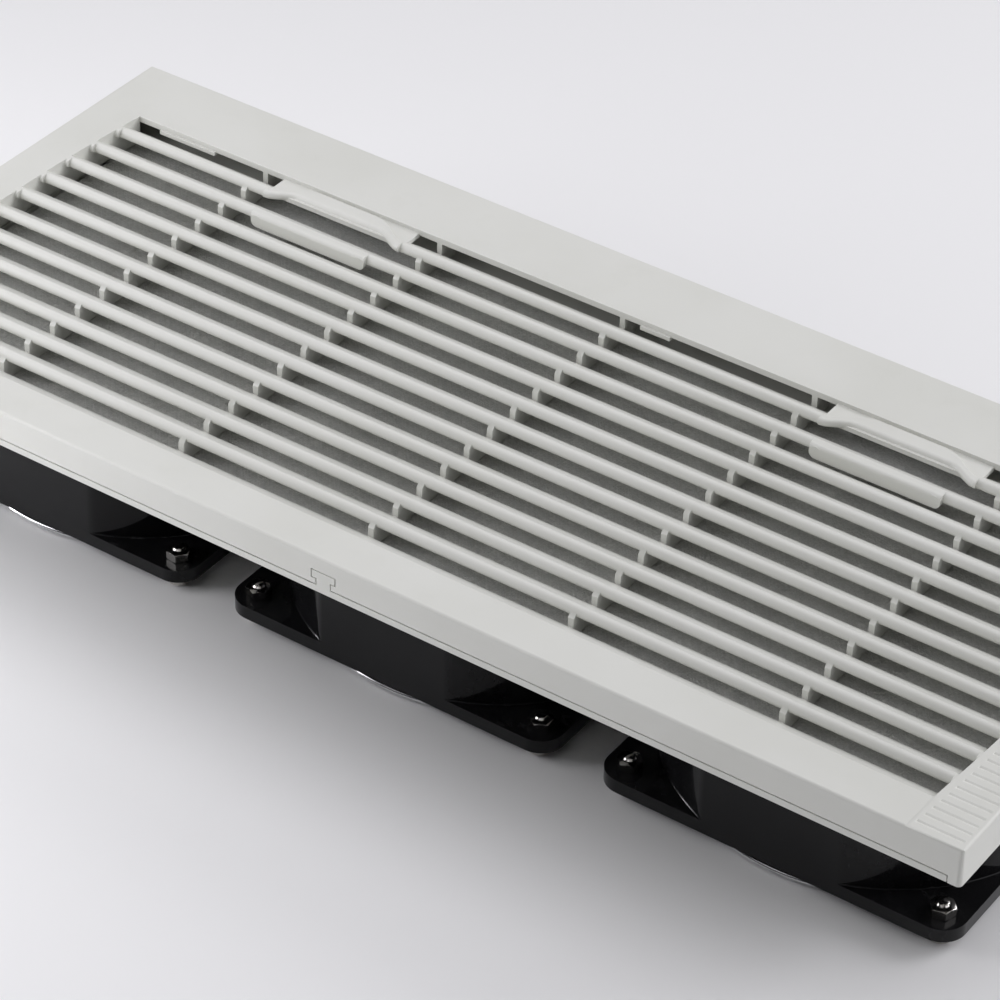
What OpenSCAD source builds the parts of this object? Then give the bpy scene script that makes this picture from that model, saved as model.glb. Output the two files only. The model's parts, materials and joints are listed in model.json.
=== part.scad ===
// Cabinet filter fan: a louvred cover that swings on a base frame, a filter mat in the
// frame's tray, and three axial fans with wire finger guards fixed under the frame.
// Millimetres. The origin is on the table below the middle of the cover, +Z up.

/* [Cover] */
// Length of the cover along X
cover_l = 420; // [416:1:450]
// Width of the cover along Y
cover_w = 183; // [178:0.5:196]
// Height of the front and back walls
cover_h = 10.1; // [9.8:0.1:13]
// Thickness of the walls
wall = 2.2; // [1.8:0.1:2.8]
// Thickness of the top plate
top_t = 2.2; // [2.1:0.1:2.8]
// Radius of the upright corners
corner_r = 1.5; // [0.8:0.1:2]
// Radius along the top edges
edge_r = 1; // [0.5:0.1:1.5]
// Width of the top plate at the middle of each end
end_strip = 14; // [12:0.5:20]
// Rise of the curved ends of the louvre opening
end_bow = 3.5; // [1:0.1:5]
// Width of the top plate in front of the louvres
front_strip = 14.5; // [13:0.5:20]
// Length of the foot at each front corner
post_l = 4; // [3:0.5:6]

/* [Louvres] */
// Number of louvres
louvres = 11; // [8:1:12]
// Distance from one louvre to the next
louvre_pitch = 12; // [11.5:0.1:12.4]
// Width of a louvre's nose
nose_w = 3.5; // [3.2:0.1:4]
// Radius of the nose's round front
nose_r = 1.45; // [1.2:0.05:1.5]
// Thickness of a blade
blade_t = 2.4; // [2:0.1:2.6]
// Fall of a blade for each millimetre to the back
blade_slope = 0.72; // [0.66:0.02:0.76]
// Reach of a blade from the front of its nose
blade_reach = 11.5; // [10.8:0.1:11.7]
// Number of rib rows across the louvres
rib_rows = 5; // [3:2:5]
// Distance from one rib row to the next
rib_pitch = 70; // [68:0.5:72]
// Thickness of a rib
rib_t = 2; // [1.6:0.1:2.6]
// Depth of the ribs below the top
rib_h = 9.9; // [9.6:0.1:10.1]

/* [Finger grips] */
// Length of a grip and of the web behind it
grip_l = 54; // [48:1:58]
// Length of the straight middle of a grip's back
grip_back_l = 24; // [18:1:30]
// Length of the straight middle of a grip's front
grip_front_l = 32; // [26:1:36]
// Gap between a grip and the back strip
grip_gap = 1.3; // [1:0.1:2]
// Setback of a grip's front edge
grip_setback = 4.4; // [3:0.1:5]
// Depth of the web's face below the top
web_drop = 1.4; // [1:0.1:1.7]
// Thickness of the web
web_t = 1.6; // [1.4:0.1:2]
// Length of the pad below the second louvre
pad_l = 45; // [40:1:54]
// Depth of that pad below the top
pad_depth = 5; // [4.5:0.1:5.4]
// Thickness of that pad
pad_t = 1.6; // [1.4:0.1:1.8]

/* [Tongues under the back strip] */
// Reach of a tongue beyond the strip's edge
tongue_reach = 0.8; // [0.6:0.1:1.6]
// Thickness of a tongue
tongue_t = 1; // [0.8:0.1:1.4]
// Length of the tongue beside the middle ribs
mid_tongue_l = 11; // [8:0.5:16]
// Length of the tongue at the left end
end_tongue_l = 23; // [16:0.5:26]

/* [Grooved end] */
// Height of the raised plate on the right end
plate_h = 0.45; // [0.3:0.05:0.8]
// Length of the slope up to that plate
plate_slope = 1.2; // [0.8:0.1:2]
// Distance from one groove to the next
groove_pitch = 3.6; // [3:0.1:5]
// Width of a groove
groove_w = 1.4; // [0.8:0.1:2]
// Depth of a groove
groove_depth = 0.4; // [0.2:0.05:0.6]
// Distance of the grooves from the louvre opening
groove_inset = 2.3; // [1.5:0.1:4]
// Distance of the grooves from the cover's edges
groove_margin = 1.7; // [1.5:0.1:3]

/* [Base frame] */
// Thickness of the flange
flange_t = 2.2; // [1.8:0.1:3]
// Gap between the flange and the cover's walls
seam = 0.4; // [0.3:0.1:0.6]
// Depth of the tray below the flange
collar_h = 14.5; // [13.5:0.5:24]
// Thickness of the tray's walls
collar_t = 2.2; // [1.8:0.1:2.6]
// Thickness of the tray's floor
floor_t = 2.5; // [2:0.1:3]
// Distance of the tray's long walls from the fans
collar_side = 11; // [9:0.5:12]
// Distance of the tray's short walls from the fans
collar_end = 2; // [1.5:0.5:3]
// Width of a bar of the mat's support grid
bar_t = 2; // [1.6:0.1:2.6]
// Width of the head of the hook on the front edge
hook_head_w = 8.2; // [7:0.1:10]
// Width of the neck of that hook
hook_neck_w = 4.8; // [4:0.1:6]
// Height of its neck
hook_neck_h = 2.6; // [2.4:0.1:3]
// Height of its head
hook_head_h = 2.5; // [2:0.1:2.8]
// Thickness of the hook
hook_t = 1.6; // [1.2:0.1:2]
// Thickness of the cover's skin around the hook
hook_skin = 0.9; // [0.8:0.1:1]
// Distance between the panel screws along X
panel_hole_l = 300; // [240:5:340]
// Distance between the panel screws along Y
panel_hole_w = 163; // [161:0.5:166]
// Diameter of the panel screw holes
panel_hole_d = 4.5; // [4:0.1:5]

/* [Mat and gasket] */
// Thickness of the filter mat
mat_t = 10; // [6:0.5:10]
// Thickness of the gasket
gasket_t = 2; // [1:0.5:4]
// Width of the gasket
gasket_w = 6; // [4:0.5:6.5]

/* [Fans] */
// Distance from one fan to the next
fan_pitch = 136; // [128:1:138]
// Place of the row of fans in front of the cover's middle
fan_setback = 2.5; // [0:0.5:4]
// Length of each side of a fan
fan_size = 120; // [114:0.5:126]
// Height of a fan
fan_h = 38; // [38:1:44]
// Thickness of a fan's flanges
fan_flange_t = 4.6; // [4:0.1:5]
// Corner radius of the flanges
fan_corner_r = 8; // [5:0.5:9]
// How far the round of a fan's body runs past its sides, which cut it flat
fan_bulge = 4; // [2:0.5:6]
// Thickness of the body's wall at the middle of a side
fan_wall = 2.5; // [2:0.1:3]
// Widening of a fan's bore at its ends
mouth_flare = 0.9; // [0.5:0.1:1.1]
// Length of that flare
mouth_l = 3.5; // [2:0.5:4]
// Distance of the mounting holes from a fan's sides
fan_hole_inset = 7.6; // [7.2:0.1:8]
// Diameter of the mounting holes
fan_hole_d = 4.4; // [4.3:0.1:4.6]
// Number of struts that carry the motor
struts = 4; // [3:1:5]
// Width of a strut
strut_w = 7; // [5:0.5:10]
// Thickness of the struts and the motor plate
motor_plate_t = 3.5; // [3:0.1:4]

/* [Motor] */
// Outer radius of the rotor
rotor_r = 30; // [28:0.5:30]
// Inner radius of the rotor
rotor_bore_r = 22.6; // [22.3:0.1:24]
// Thickness of the rotor's closed end
rotor_end_t = 3; // [2:0.1:4]
// Outer radius of the stator
stator_r = 21.9; // [21:0.1:22]
// Height of the stator
stator_h = 14; // [12:0.5:15]
// Height of the coil ends above and below the stator
coil_h = 2.6; // [2:0.1:3]
// Outer radius of the bearing tube
tube_r = 10.5; // [10:0.1:11]
// Radius of the bearings
bearing_r = 8; // [7.5:0.1:8.5]
// Width of a bearing
bearing_w = 5; // [4:0.5:5.5]
// Radius of the shaft
shaft_r = 2.5; // [2:0.1:3]

/* [Impeller] */
// Number of blades
blades = 5; // [3:1:6]
// Thickness of the ring that carries the blades
hub_t = 2; // [1.5:0.1:2.5]
// Gap between the blade tips and the fan's bore
tip_gap = 2; // [1.5:0.1:4]
// Chord of a blade
chord = 41; // [34:0.5:42]
// Angle of a blade to the fan's plane
pitch_angle = 38; // [32:1:39]
// Rise of a blade's curve above its chord
camber = 4; // [2:0.1:5]
// Thickness of the blades
vane_t = 1.8; // [1.4:0.1:2.2]

/* [Guards and fasteners] */
// Diameter of the guard wire
wire_d = 1.8; // [1.6:0.1:2.2]
// Number of guard rings
guard_rings = 4; // [3:1:5]
// Distance of the largest guard ring outside the fan's bore
guard_lap = 1; // [0:0.1:1.5]
// Radius of the smallest guard ring
guard_inner_r = 15; // [12:0.5:18]
// Diameter of the screws
screw_d = 4; // [3.6:0.1:4.2]
// Diameter of the screw heads
head_d = 8; // [7.6:0.1:8.6]
// Height of the screw heads
head_h = 2.4; // [2.2:0.1:3]
// Size of the nuts across their flats
nut_af = 7; // [6.6:0.1:7.4]
// Height of the nuts
nut_h = 3.2; // [2.8:0.1:3.4]

/* [Hidden] */
$fn = 64;
fans = 3;
// Clearances: parts that slip together, a swinging part, a turning shaft, a nut on its screw
fit = 0.3;
swing_clear = 0.1;
run_clear = 0.03;
nut_clear = 0.05;
// Overlap of features that are one piece
fuse = 0.4;

// Heights, from the table up
fan_z = head_h + wire_d;
fan_top = fan_z + fan_h;
floor_top = fan_top + floor_t;
flange_z = fan_top + collar_h;
flange_top = flange_z + flange_t;
seat_z = flange_top + seam;
top_z = seat_z + cover_h;
rib_z = top_z - rib_h;
mat_top = rib_z - (fit - swing_clear);
mat_z = mat_top - mat_t;
wire_z = fan_z - wire_d / 2;
ring_z = wire_z - wire_d + fit;

// Plan of the cover
louvre_gap = louvre_pitch - nose_w;
opening_l = cover_l - 2 * end_strip;
opening_w = (louvres + 1) * louvre_pitch - nose_w;
open_front = -cover_w / 2 + front_strip;
open_back = open_front + opening_w;
open_mid = (open_front + open_back) / 2;
end_r = pow(opening_w, 2) / (8 * end_bow) + end_bow / 2;
cheek_t = 1.8;
grip_x = 1.5 * rib_pitch;
grip_front = louvre_back(1) - nose_w;
nose_steps = 10;

// Plan of the base and the fans
fan_y = -fan_setback;
fan_body_r = fan_size / 2 + fan_bulge;
fan_bore_r = fan_size / 2 - fan_wall;
fan_hole_pitch = fan_size - 2 * fan_hole_inset;
guard_r = fan_bore_r + guard_lap;
flange_l = cover_l - 2 * (wall + fit);
collar_l = (fans - 1) * fan_pitch + fan_size + 2 * collar_end;
collar_w = fan_size + 2 * collar_side;
tray_l = collar_l - 2 * collar_t;
tray_w = collar_w - 2 * collar_t;
post_w = post_l;
post_swing = 1;
hook_wing = hook_neck_h - seam;
shoulder_h = sqrt(pow(hook_wing - swing_clear, 2) - pow(hook_skin, 2));

// Heights inside a fan, from its lower face up
rotor_z = motor_plate_t + 3.5;
rotor_top = fan_h - 4;
tube_top = rotor_top - rotor_end_t - 2;
stator_z = rotor_z + 3.5;
shaft_z = motor_plate_t + 1;
hub_r = rotor_r + hub_t;
tip_r = fan_bore_r - tip_gap;
vane_mid = (rotor_z + rotor_top) / 2;
camber_r = pow(chord, 2) / (8 * camber) + camber / 2;

// Terminals on the corner of a fan
block_l = 9;
block_w = 16;
block_h = 12;
block_z = (fan_h - block_h) / 2;
tab_l = 10;
tab_seat = 3;
tab_w = 6.3;
tab_t = 0.8;

plastic = [0.84, 0.84, 0.82];
black = [0.05, 0.05, 0.05];
steel = [0.78, 0.78, 0.78];

fan_names = ["housing", "impeller", "rotor_cup", "shaft", "bearings", "stator", "winding",
             "terminals", "guard"];

// Back edge of louvre i, counted from the back strip
function louvre_back(i) = open_back - louvre_gap - (i - 1) * louvre_pitch;
// Points of a louvre's round front, from its underside to its top, with its front at y
function nose_front(y) = [for (i = [0 : nose_steps]) let (turn = 180 * i / nose_steps)
    [y + nose_r * (1 - sin(turn)), -nose_r * (1 + cos(turn))]];
// Height of a blade's upper and lower face at u behind the front of its nose, from the top
function blade_upper(u) = -blade_slope * (u - nose_w);
function blade_lower(u) = blade_upper(u) - blade_t * sqrt(1 + pow(blade_slope, 2));
// Middle of fan k along X
function fan_x(k) = (k - (fans + 1) / 2) * fan_pitch;
// Smooth step from 0 to 1
function ease(t) = (1 - cos(180 * t)) / 2;

module round_rect(l, w, r) {
    square([l - 2 * r, w], center = true);
    square([l, w - 2 * r], center = true);
    for (sx = [-1, 1], sy = [-1, 1])
        translate([sx * (l / 2 - r), sy * (w / 2 - r)])
            circle(r);
}

module at_corners(pitch) {
    for (sx = [-1, 1], sy = [-1, 1])
        translate([sx * pitch / 2, sy * pitch / 2, 0])
            children();
}

module at_fan(k) {
    translate([fan_x(k), fan_y, fan_z])
        children();
}

// A profile drawn in Y and Z, drawn out along X from its middle
module along_x(l) {
    rotate([90, 0, 90])
        linear_extrude(l, center = true)
            children();
}

// What an edge loses to its rounding, for a corner at the origin
module edge_waste(r) {
    steps = 5;
    polygon(concat(
        [[fuse, fuse], [-r, fuse]],
        [for (i = [0 : steps]) r * [sin(90 * i / steps) - 1, cos(90 * i / steps) - 1]],
        [[fuse, -r]]
    ));
}

// Louvred cover

// The disc whose right edge is the curved right end of the opening, grown by extra
module end_disc(extra) {
    translate([opening_l / 2 - end_r, open_mid])
        circle(end_r + extra, $fn = 720);
}

// All that lies between the curved ends
module between_ends(extra) {
    intersection() {
        end_disc(extra);
        mirror([1, 0])
            end_disc(extra);
    }
}

module opening_outline() {
    intersection() {
        between_ends(0);
        translate([-opening_l / 2, open_front])
            square([opening_l, opening_w]);
    }
}

// The wall that closes the louvres at the right end
module cheek() {
    translate([0, 0, rib_z])
        linear_extrude(rib_h - top_t + fuse)
            intersection() {
                difference() {
                    end_disc(cheek_t);
                    end_disc(0);
                }
                translate([0, open_front])
                    square([cover_l, opening_w]);
            }
}

module louvre_profile() {
    tip = blade_reach;
    back_off = blade_t * blade_slope / sqrt(1 + pow(blade_slope, 2));
    root = nose_w + (2 * nose_r - blade_upper(0) + blade_lower(0)) / blade_slope;
    polygon(concat(
        [[nose_w, 0], [tip, blade_upper(tip)], [tip - back_off, blade_lower(tip - back_off)]],
        [[root, -2 * nose_r]],
        nose_front(0)
    ));
}

module louvre(i) {
    translate([0, louvre_back(i) - nose_w, top_z])
        along_x(opening_l + cheek_t)
            louvre_profile();
}

// A rib from louvre i down to the tip of the blade in front of it
module rib(i) {
    reach = blade_reach - louvre_pitch;
    root = louvre_pitch - 2;
    translate([0, louvre_back(i) - nose_w, top_z])
        along_x(rib_t)
            polygon([
                [0, -nose_r],
                [0, blade_upper(louvre_pitch)],
                [reach - fuse, blade_upper(blade_reach) - fuse / 2],
                [-2, blade_lower(root) + fuse / 2],
                [-2, -rib_h],
                [root, -rib_h],
                [root, blade_lower(root) + fuse],
                [nose_w, blade_lower(nose_w) + fuse]
            ]);
}

// The rib that hangs from the back strip
module back_rib() {
    rear = 8;
    reach = blade_reach - louvre_pitch;
    root = louvre_pitch - 2;
    translate([0, open_back, top_z])
        along_x(rib_t)
            polygon([
                [0, -top_t + fuse],
                [0, blade_upper(louvre_pitch)],
                [reach - fuse, blade_upper(blade_reach) - fuse / 2],
                [-2, blade_lower(root) + fuse / 2],
                [-2, -rib_h],
                [rear, -rib_h],
                [rear, -top_t + fuse]
            ]);
}

// How far a finger grip has swung back at x from its middle, 1 over its straight middle
function grip_swing(x, straight) = ease(max(0, min(1, (grip_l - 2 * abs(x)) / (grip_l - straight))));

// Section of a finger grip at x: the louvre swells back towards the strip
function grip_section(x) = let (
    front = grip_front + grip_setback * grip_swing(x, grip_front_l),
    rear = louvre_back(1) + (louvre_gap - grip_gap) * grip_swing(x, grip_back_l),
    round = 0.8
) [for (p = concat(
    nose_front(front),
    [for (i = [0 : 3]) [rear - round * (1 - sin(30 * i)), -round * (1 - cos(30 * i))]],
    [[rear, -2 * nose_r]]
)) [x, p[0], p[1]]];

module finger_grip() {
    stations = 24;
    sections = [for (i = [0 : stations]) grip_section((grip_l / 2 + fuse) * (1 - 2 * i / stations))];
    n = len(sections[0]);
    translate([0, 0, top_z])
        polyhedron(
            [for (section = sections) each section],
            concat(
                [[for (j = [0 : n - 1]) j]],
                [for (i = [0 : stations - 1], j = [0 : n - 1]) let (next = (j + 1) % n)
                    [i * n + next, i * n + j, (i + 1) * n + j, (i + 1) * n + next]],
                [[for (j = [n - 1 : -1 : 0]) stations * n + j]]
            ),
            convexity = 4
        );
    translate([-grip_l / 2, louvre_back(1), top_z - web_drop - web_t])
        cube([grip_l, louvre_gap + fuse, web_t]);
}

// The pad that hangs below the second louvre, with round lower corners
module grip_pad() {
    r = 2.2;
    depth = pad_depth - nose_r;
    translate([0, louvre_back(2) - nose_w + pad_t, top_z - nose_r])
        rotate([90, 0, 0])
            linear_extrude(pad_t)
                union() {
                    translate([-pad_l / 2, -depth + r])
                        square([pad_l, depth - r]);
                    translate([-pad_l / 2 + r, -depth])
                        square([pad_l - 2 * r, depth]);
                    for (s = [-1, 1])
                        translate([s * (pad_l / 2 - r), -depth + r])
                            circle(r);
                }
}

// A tongue under the back strip, drawn to the right from its left end
module tongue(l) {
    translate([0, open_back - tongue_reach, top_z - top_t - tongue_t])
        cube([l, tongue_reach + 4, tongue_t + fuse]);
}

module grille() {
    difference() {
        intersection() {
            for (i = [1 : louvres + 1])
                louvre(i);
            translate([0, 0, seat_z])
                linear_extrude(cover_h + fuse)
                    between_ends(cheek_t / 2);
        }
        for (s = [-1, 1])
            translate([s * grip_x - grip_l / 2, grip_front - fuse, top_z - cover_h])
                cube([grip_l, blade_reach + 2 * fuse, cover_h + fuse]);
    }
    for (j = [0 : rib_rows - 1])
        translate([(j - (rib_rows - 1) / 2) * rib_pitch, 0, 0]) {
            back_rib();
            for (i = [1 : louvres])
                rib(i);
        }
    for (s = [-1, 1])
        translate([s * grip_x, 0, 0]) {
            finger_grip();
            grip_pad();
        }
    for (s = [0, 1])
        mirror([s, 0, 0])
            cheek();
    translate([rib_t / 2 + 6, 0, 0])
        tongue(mid_tongue_l);
    translate([9 - opening_l / 2 + end_bow, 0, 0])
        tongue(end_tongue_l);
}

// The raised plate on the right end, rounded along its edges, with a row of grooves
module grooved_end() {
    left = opening_l / 2 - end_bow - plate_slope / 2;
    plate_z = top_z + plate_h;
    n = floor((cover_w - 2 * groove_margin - groove_w) / groove_pitch);
    difference() {
        translate([0, 0, top_z - top_t])
            linear_extrude(top_t + plate_h)
                difference() {
                    intersection() {
                        round_rect(cover_l, cover_w, corner_r);
                        translate([left, -cover_w / 2])
                            square([cover_l / 2 - left, cover_w]);
                    }
                    opening_outline();
                }
        for (s = [0, 1])
            mirror([0, s, 0])
                translate([cover_l / 2, cover_w / 2, plate_z])
                    along_x(cover_l)
                        edge_waste(edge_r);
        translate([cover_l / 2, 0, plate_z])
            rotate([90, 0, 0])
                linear_extrude(cover_w + 2 * fuse, center = true)
                    edge_waste(edge_r);
        translate([left, 0, top_z])
            rotate([90, 0, 0])
                linear_extrude(cover_w + 2 * fuse, center = true)
                    polygon([[-fuse, 0], [0, 0], [plate_slope, plate_h], [plate_slope, 1], [-fuse, 1]]);
        difference() {
            for (i = [0 : n])
                translate([cover_l / 2 - groove_margin, (i - n / 2) * groove_pitch, plate_z])
                    groove();
            translate([0, 0, top_z - top_t])
                linear_extrude(2 * top_t)
                    end_disc(groove_inset);
        }
    }
}

// One groove, drawn to the left from its outer end
module groove() {
    l = end_strip + end_bow;
    translate([-l / 2, 0, 0])
        along_x(l)
            polygon([[-groove_w / 2, 0], [0, -groove_depth], [groove_w / 2, 0], [0, fuse]]);
}

// The opening in the cover's front wall for the hook, and the thin skin round it
module hook_opening() {
    front = -cover_w / 2;
    head_w = hook_head_w + 2 * fit;
    neck_w = hook_neck_w + 2 * fit;
    head_top = hook_wing + hook_head_h + fit;
    pocket_w = head_w + 4;
    translate([-neck_w / 2, front - fuse, seat_z - fuse])
        cube([neck_w, wall + 2 * fuse, head_top + fuse]);
    translate([-head_w / 2, front - fuse, seat_z + shoulder_h])
        cube([head_w, wall + 2 * fuse, head_top - shoulder_h]);
    translate([-pocket_w / 2, front + hook_skin, seat_z - fuse])
        cube([pocket_w, wall, head_top + 2 * fuse]);
}

// The walls that reach down beside the ends of the flange, with a foot at each front corner
module end_walls() {
    translate([0, 0, flange_z])
        linear_extrude(seat_z - flange_z + fuse)
            intersection() {
                round_rect(cover_l, cover_w, corner_r);
                union() {
                    for (s = [-1, 1])
                        translate([s * (cover_l - wall) / 2, 0])
                            square([wall, cover_w], center = true);
                    for (s = [-1, 1])
                        translate([s * (cover_l - post_l) / 2, -(cover_w - post_w) / 2])
                            square([post_l, post_w], center = true);
                }
            }
}

module louvre_cover() {
    color(plastic) {
        difference() {
            translate([0, 0, seat_z])
                linear_extrude(cover_h)
                    round_rect(cover_l, cover_w, corner_r);
            translate([-cover_l / 2 + wall, -cover_w / 2 + wall, seat_z - fuse])
                cube([cover_l - 2 * wall, cover_w - 2 * wall, cover_h - top_t + fuse]);
            translate([0, 0, seat_z])
                linear_extrude(cover_h + fuse)
                    opening_outline();
            for (s = [0, 1]) {
                mirror([0, s, 0])
                    translate([0, cover_w / 2, top_z])
                        along_x(cover_l + 2 * fuse)
                            edge_waste(edge_r);
                mirror([s, 0, 0])
                    translate([cover_l / 2, 0, top_z])
                        rotate([90, 0, 0])
                            linear_extrude(cover_w + 2 * fuse, center = true)
                                edge_waste(edge_r);
            }
            hook_opening();
        }
        end_walls();
        grille();
        grooved_end();
    }
}

// Base frame, mat and gasket

module hook() {
    front = -cover_w / 2;
    translate([-hook_neck_w / 2, front, flange_top - fuse])
        cube([hook_neck_w, hook_t, hook_neck_h + 2 * fuse]);
    translate([-hook_head_w / 2, front, flange_top + hook_neck_h])
        cube([hook_head_w, hook_t, hook_head_h]);
}

// The grid that carries the mat above the fans
module support_grid() {
    h = mat_z - floor_top + fuse;
    step = rib_pitch / 2;
    n = floor((tray_l / 2 - bar_t) / step);
    for (i = [-n : n])
        translate([i * step - bar_t / 2, fan_y - tray_w / 2 - fuse, floor_top - fuse])
            cube([bar_t, tray_w + 2 * fuse, h]);
    for (i = [-1 : 1])
        translate([-tray_l / 2 - fuse, fan_y + i * step - bar_t / 2, floor_top - fuse])
            cube([tray_l + 2 * fuse, bar_t, h]);
}

module base_frame() {
    color(plastic) {
        difference() {
            union() {
                translate([-flange_l / 2, -cover_w / 2, flange_z])
                    cube([flange_l, cover_w, flange_t]);
                translate([-collar_l / 2, fan_y - collar_w / 2, fan_top])
                    cube([collar_l, collar_w, collar_h + flange_t]);
            }
            translate([-tray_l / 2, fan_y - tray_w / 2, floor_top])
                cube([tray_l, tray_w, collar_h + flange_t]);
            // Room for the feet of the cover
            for (s = [-1, 1])
                translate([s * cover_l / 2, -cover_w / 2, flange_z + flange_t / 2])
                    cube([2 * (post_l + fit), 2 * (post_w + post_swing), 2 * flange_t], center = true);
            for (k = [1 : fans])
                translate([fan_x(k), fan_y, fan_top - fuse]) {
                    cylinder(r = fan_bore_r + mouth_flare, h = floor_t + 2 * fuse);
                    at_corners(fan_hole_pitch)
                        cylinder(d = fan_hole_d, h = floor_t + 2 * fuse);
                }
            for (sx = [-1, 1], sy = [-1, 1])
                translate([sx * panel_hole_l / 2, fan_y + sy * panel_hole_w / 2, flange_z - fuse])
                    cylinder(d = panel_hole_d, h = flange_t + 2 * fuse);
        }
        support_grid();
        hook();
    }
}

module filter_mat() {
    color([0.55, 0.56, 0.54])
        translate([-tray_l / 2 + fit, fan_y - tray_w / 2 + fit, mat_z])
            cube([tray_l - 2 * fit, tray_w - 2 * fit, mat_t]);
}

module panel_gasket() {
    inner_l = collar_l + 2 * fit;
    inner_w = collar_w + 2 * fit;
    color([0.12, 0.12, 0.12])
        translate([0, fan_y, flange_z - gasket_t])
            linear_extrude(gasket_t)
                difference() {
                    square([inner_l + 2 * gasket_w, inner_w + 2 * gasket_w], center = true);
                    square([inner_l, inner_w], center = true);
                }
}

// Fasteners

module screw(length) {
    bevel = 0.5;
    rotate_extrude()
        polygon([
            [0, 0], [head_d / 2 - 2 * bevel, 0], [head_d / 2, 2 * bevel], [head_d / 2, head_h],
            [screw_d / 2, head_h], [screw_d / 2, head_h + length - bevel],
            [screw_d / 2 - bevel, head_h + length], [0, head_h + length]
        ]);
}

module nut() {
    difference() {
        cylinder(d = nut_af / cos(30), h = nut_h, $fn = 6);
        translate([0, 0, -fuse])
            cylinder(d = screw_d + 2 * nut_clear, h = nut_h + 2 * fuse);
    }
}

// Screws that hold the guards, with their heads as the feet of the part
module guard_screws() {
    color(steel)
        for (k = [1 : fans])
            translate([fan_x(k), fan_y, 0])
                at_corners(fan_hole_pitch)
                    screw(wire_d + fan_flange_t + nut_h + 1.2);
}

module guard_nuts() {
    color(steel)
        for (k = [1 : fans])
            at_fan(k)
                at_corners(fan_hole_pitch)
                    translate([0, 0, fan_flange_t])
                        rotate([0, 0, 20])
                            nut();
}

// Screws that hold the fans under the tray's floor
module fan_screws() {
    color(steel)
        for (k = [1 : fans])
            translate([fan_x(k), fan_y, floor_top + head_h])
                at_corners(fan_hole_pitch)
                    mirror([0, 0, 1])
                        screw(floor_t + fan_flange_t + nut_h + 1.2);
}

module fan_nuts() {
    color(steel)
        for (k = [1 : fans])
            at_fan(k)
                at_corners(fan_hole_pitch)
                    translate([0, 0, fan_h - fan_flange_t - nut_h])
                        rotate([0, 0, 10])
                            nut();
}

// One fan, drawn about its own axis with its lower face at zero

module terminal_pose() {
    rotate([0, 0, 45])
        translate([fan_body_r - 4, 0, block_z])
            children();
}

module tab_pair(gap) {
    for (s = [-1, 1])
        translate([block_l - tab_seat, s * block_w / 4 - tab_t / 2 - gap, block_h / 2 - tab_w / 2 - gap])
            cube([tab_l, tab_t + 2 * gap, tab_w + 2 * gap]);
}

// What a fan's housing loses to its bore, which flares at both ends
module bore() {
    translate([0, 0, -fuse])
        cylinder(r = fan_bore_r, h = fan_h + 2 * fuse, $fn = 128);
    for (end = [0, 1])
        translate([0, 0, end * fan_h])
            mirror([0, 0, end])
                translate([0, 0, -fuse])
                    cylinder(
                        r1 = fan_bore_r + mouth_flare * (1 + fuse / mouth_l),
                        r2 = fan_bore_r - mouth_flare,
                        h = 2 * mouth_l + fuse,
                        $fn = 128
                    );
}

module housing() {
    color(black) {
        difference() {
            union() {
                linear_extrude(fan_flange_t)
                    round_rect(fan_size, fan_size, fan_corner_r);
                translate([0, 0, fan_h - fan_flange_t])
                    linear_extrude(fan_flange_t)
                        round_rect(fan_size, fan_size, fan_corner_r);
                linear_extrude(fan_h)
                    intersection() {
                        circle(fan_body_r, $fn = 128);
                        square(fan_size, center = true);
                    }
                terminal_pose()
                    translate([0, -block_w / 2, 0])
                        cube([block_l, block_w, block_h]);
            }
            bore();
            at_corners(fan_hole_pitch)
                translate([0, 0, -fuse])
                    cylinder(d = fan_hole_d, h = fan_h + 2 * fuse);
            terminal_pose()
                tab_pair(swing_clear);
        }
        difference() {
            union() {
                cylinder(r = hub_r - 1, h = motor_plate_t);
                cylinder(r = tube_r, h = tube_top);
                for (i = [0 : struts - 1])
                    rotate([0, 0, 45 + 360 * i / struts])
                        translate([tube_r, -strut_w / 2, 0])
                            cube([fan_bore_r + fan_wall / 2 - tube_r, strut_w, motor_plate_t]);
            }
            translate([0, 0, motor_plate_t])
                cylinder(r = bearing_r, h = tube_top);
        }
    }
}

// A curved blade section about its middle, chord along X
module vane_section() {
    sweep = asin(chord / 2 / camber_r);
    far = 1.2 * camber_r;
    translate([0, camber / 2 - camber_r])
        intersection() {
            difference() {
                circle(camber_r + vane_t / 2, $fn = 128);
                circle(camber_r - vane_t / 2, $fn = 128);
            }
            polygon([[0, 0], far * [-sin(sweep), cos(sweep)], [0, far], far * [sin(sweep), cos(sweep)]]);
        }
}

module impeller() {
    ring_in = rotor_r - 6;
    lid_t = 1.2;
    color(black) {
        difference() {
            translate([0, 0, rotor_z])
                cylinder(r = hub_r, h = rotor_top + lid_t - rotor_z);
            translate([0, 0, rotor_z - fuse])
                cylinder(r = rotor_r, h = rotor_top - rotor_z + fuse);
            translate([0, 0, rotor_top - fuse])
                cylinder(r = ring_in, h = lid_t + 2 * fuse);
        }
        intersection() {
            for (i = [0 : blades - 1])
                rotate([0, 0, 360 * i / blades])
                    translate([tip_r / 2, 0, vane_mid])
                        along_x(tip_r + fuse)
                            rotate(pitch_angle)
                                vane_section();
            difference() {
                cylinder(r = tip_r, h = fan_h, $fn = 128);
                translate([0, 0, -fuse])
                    cylinder(r = hub_r - fuse, h = fan_h + 2 * fuse);
            }
        }
    }
}

module rotor_cup() {
    color([0.55, 0.55, 0.56])
        difference() {
            translate([0, 0, rotor_z])
                cylinder(r = rotor_r, h = rotor_top - rotor_z);
            translate([0, 0, rotor_z - fuse])
                cylinder(r = rotor_bore_r, h = rotor_top - rotor_end_t - rotor_z + fuse);
            cylinder(r = shaft_r, h = fan_h);
        }
}

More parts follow.
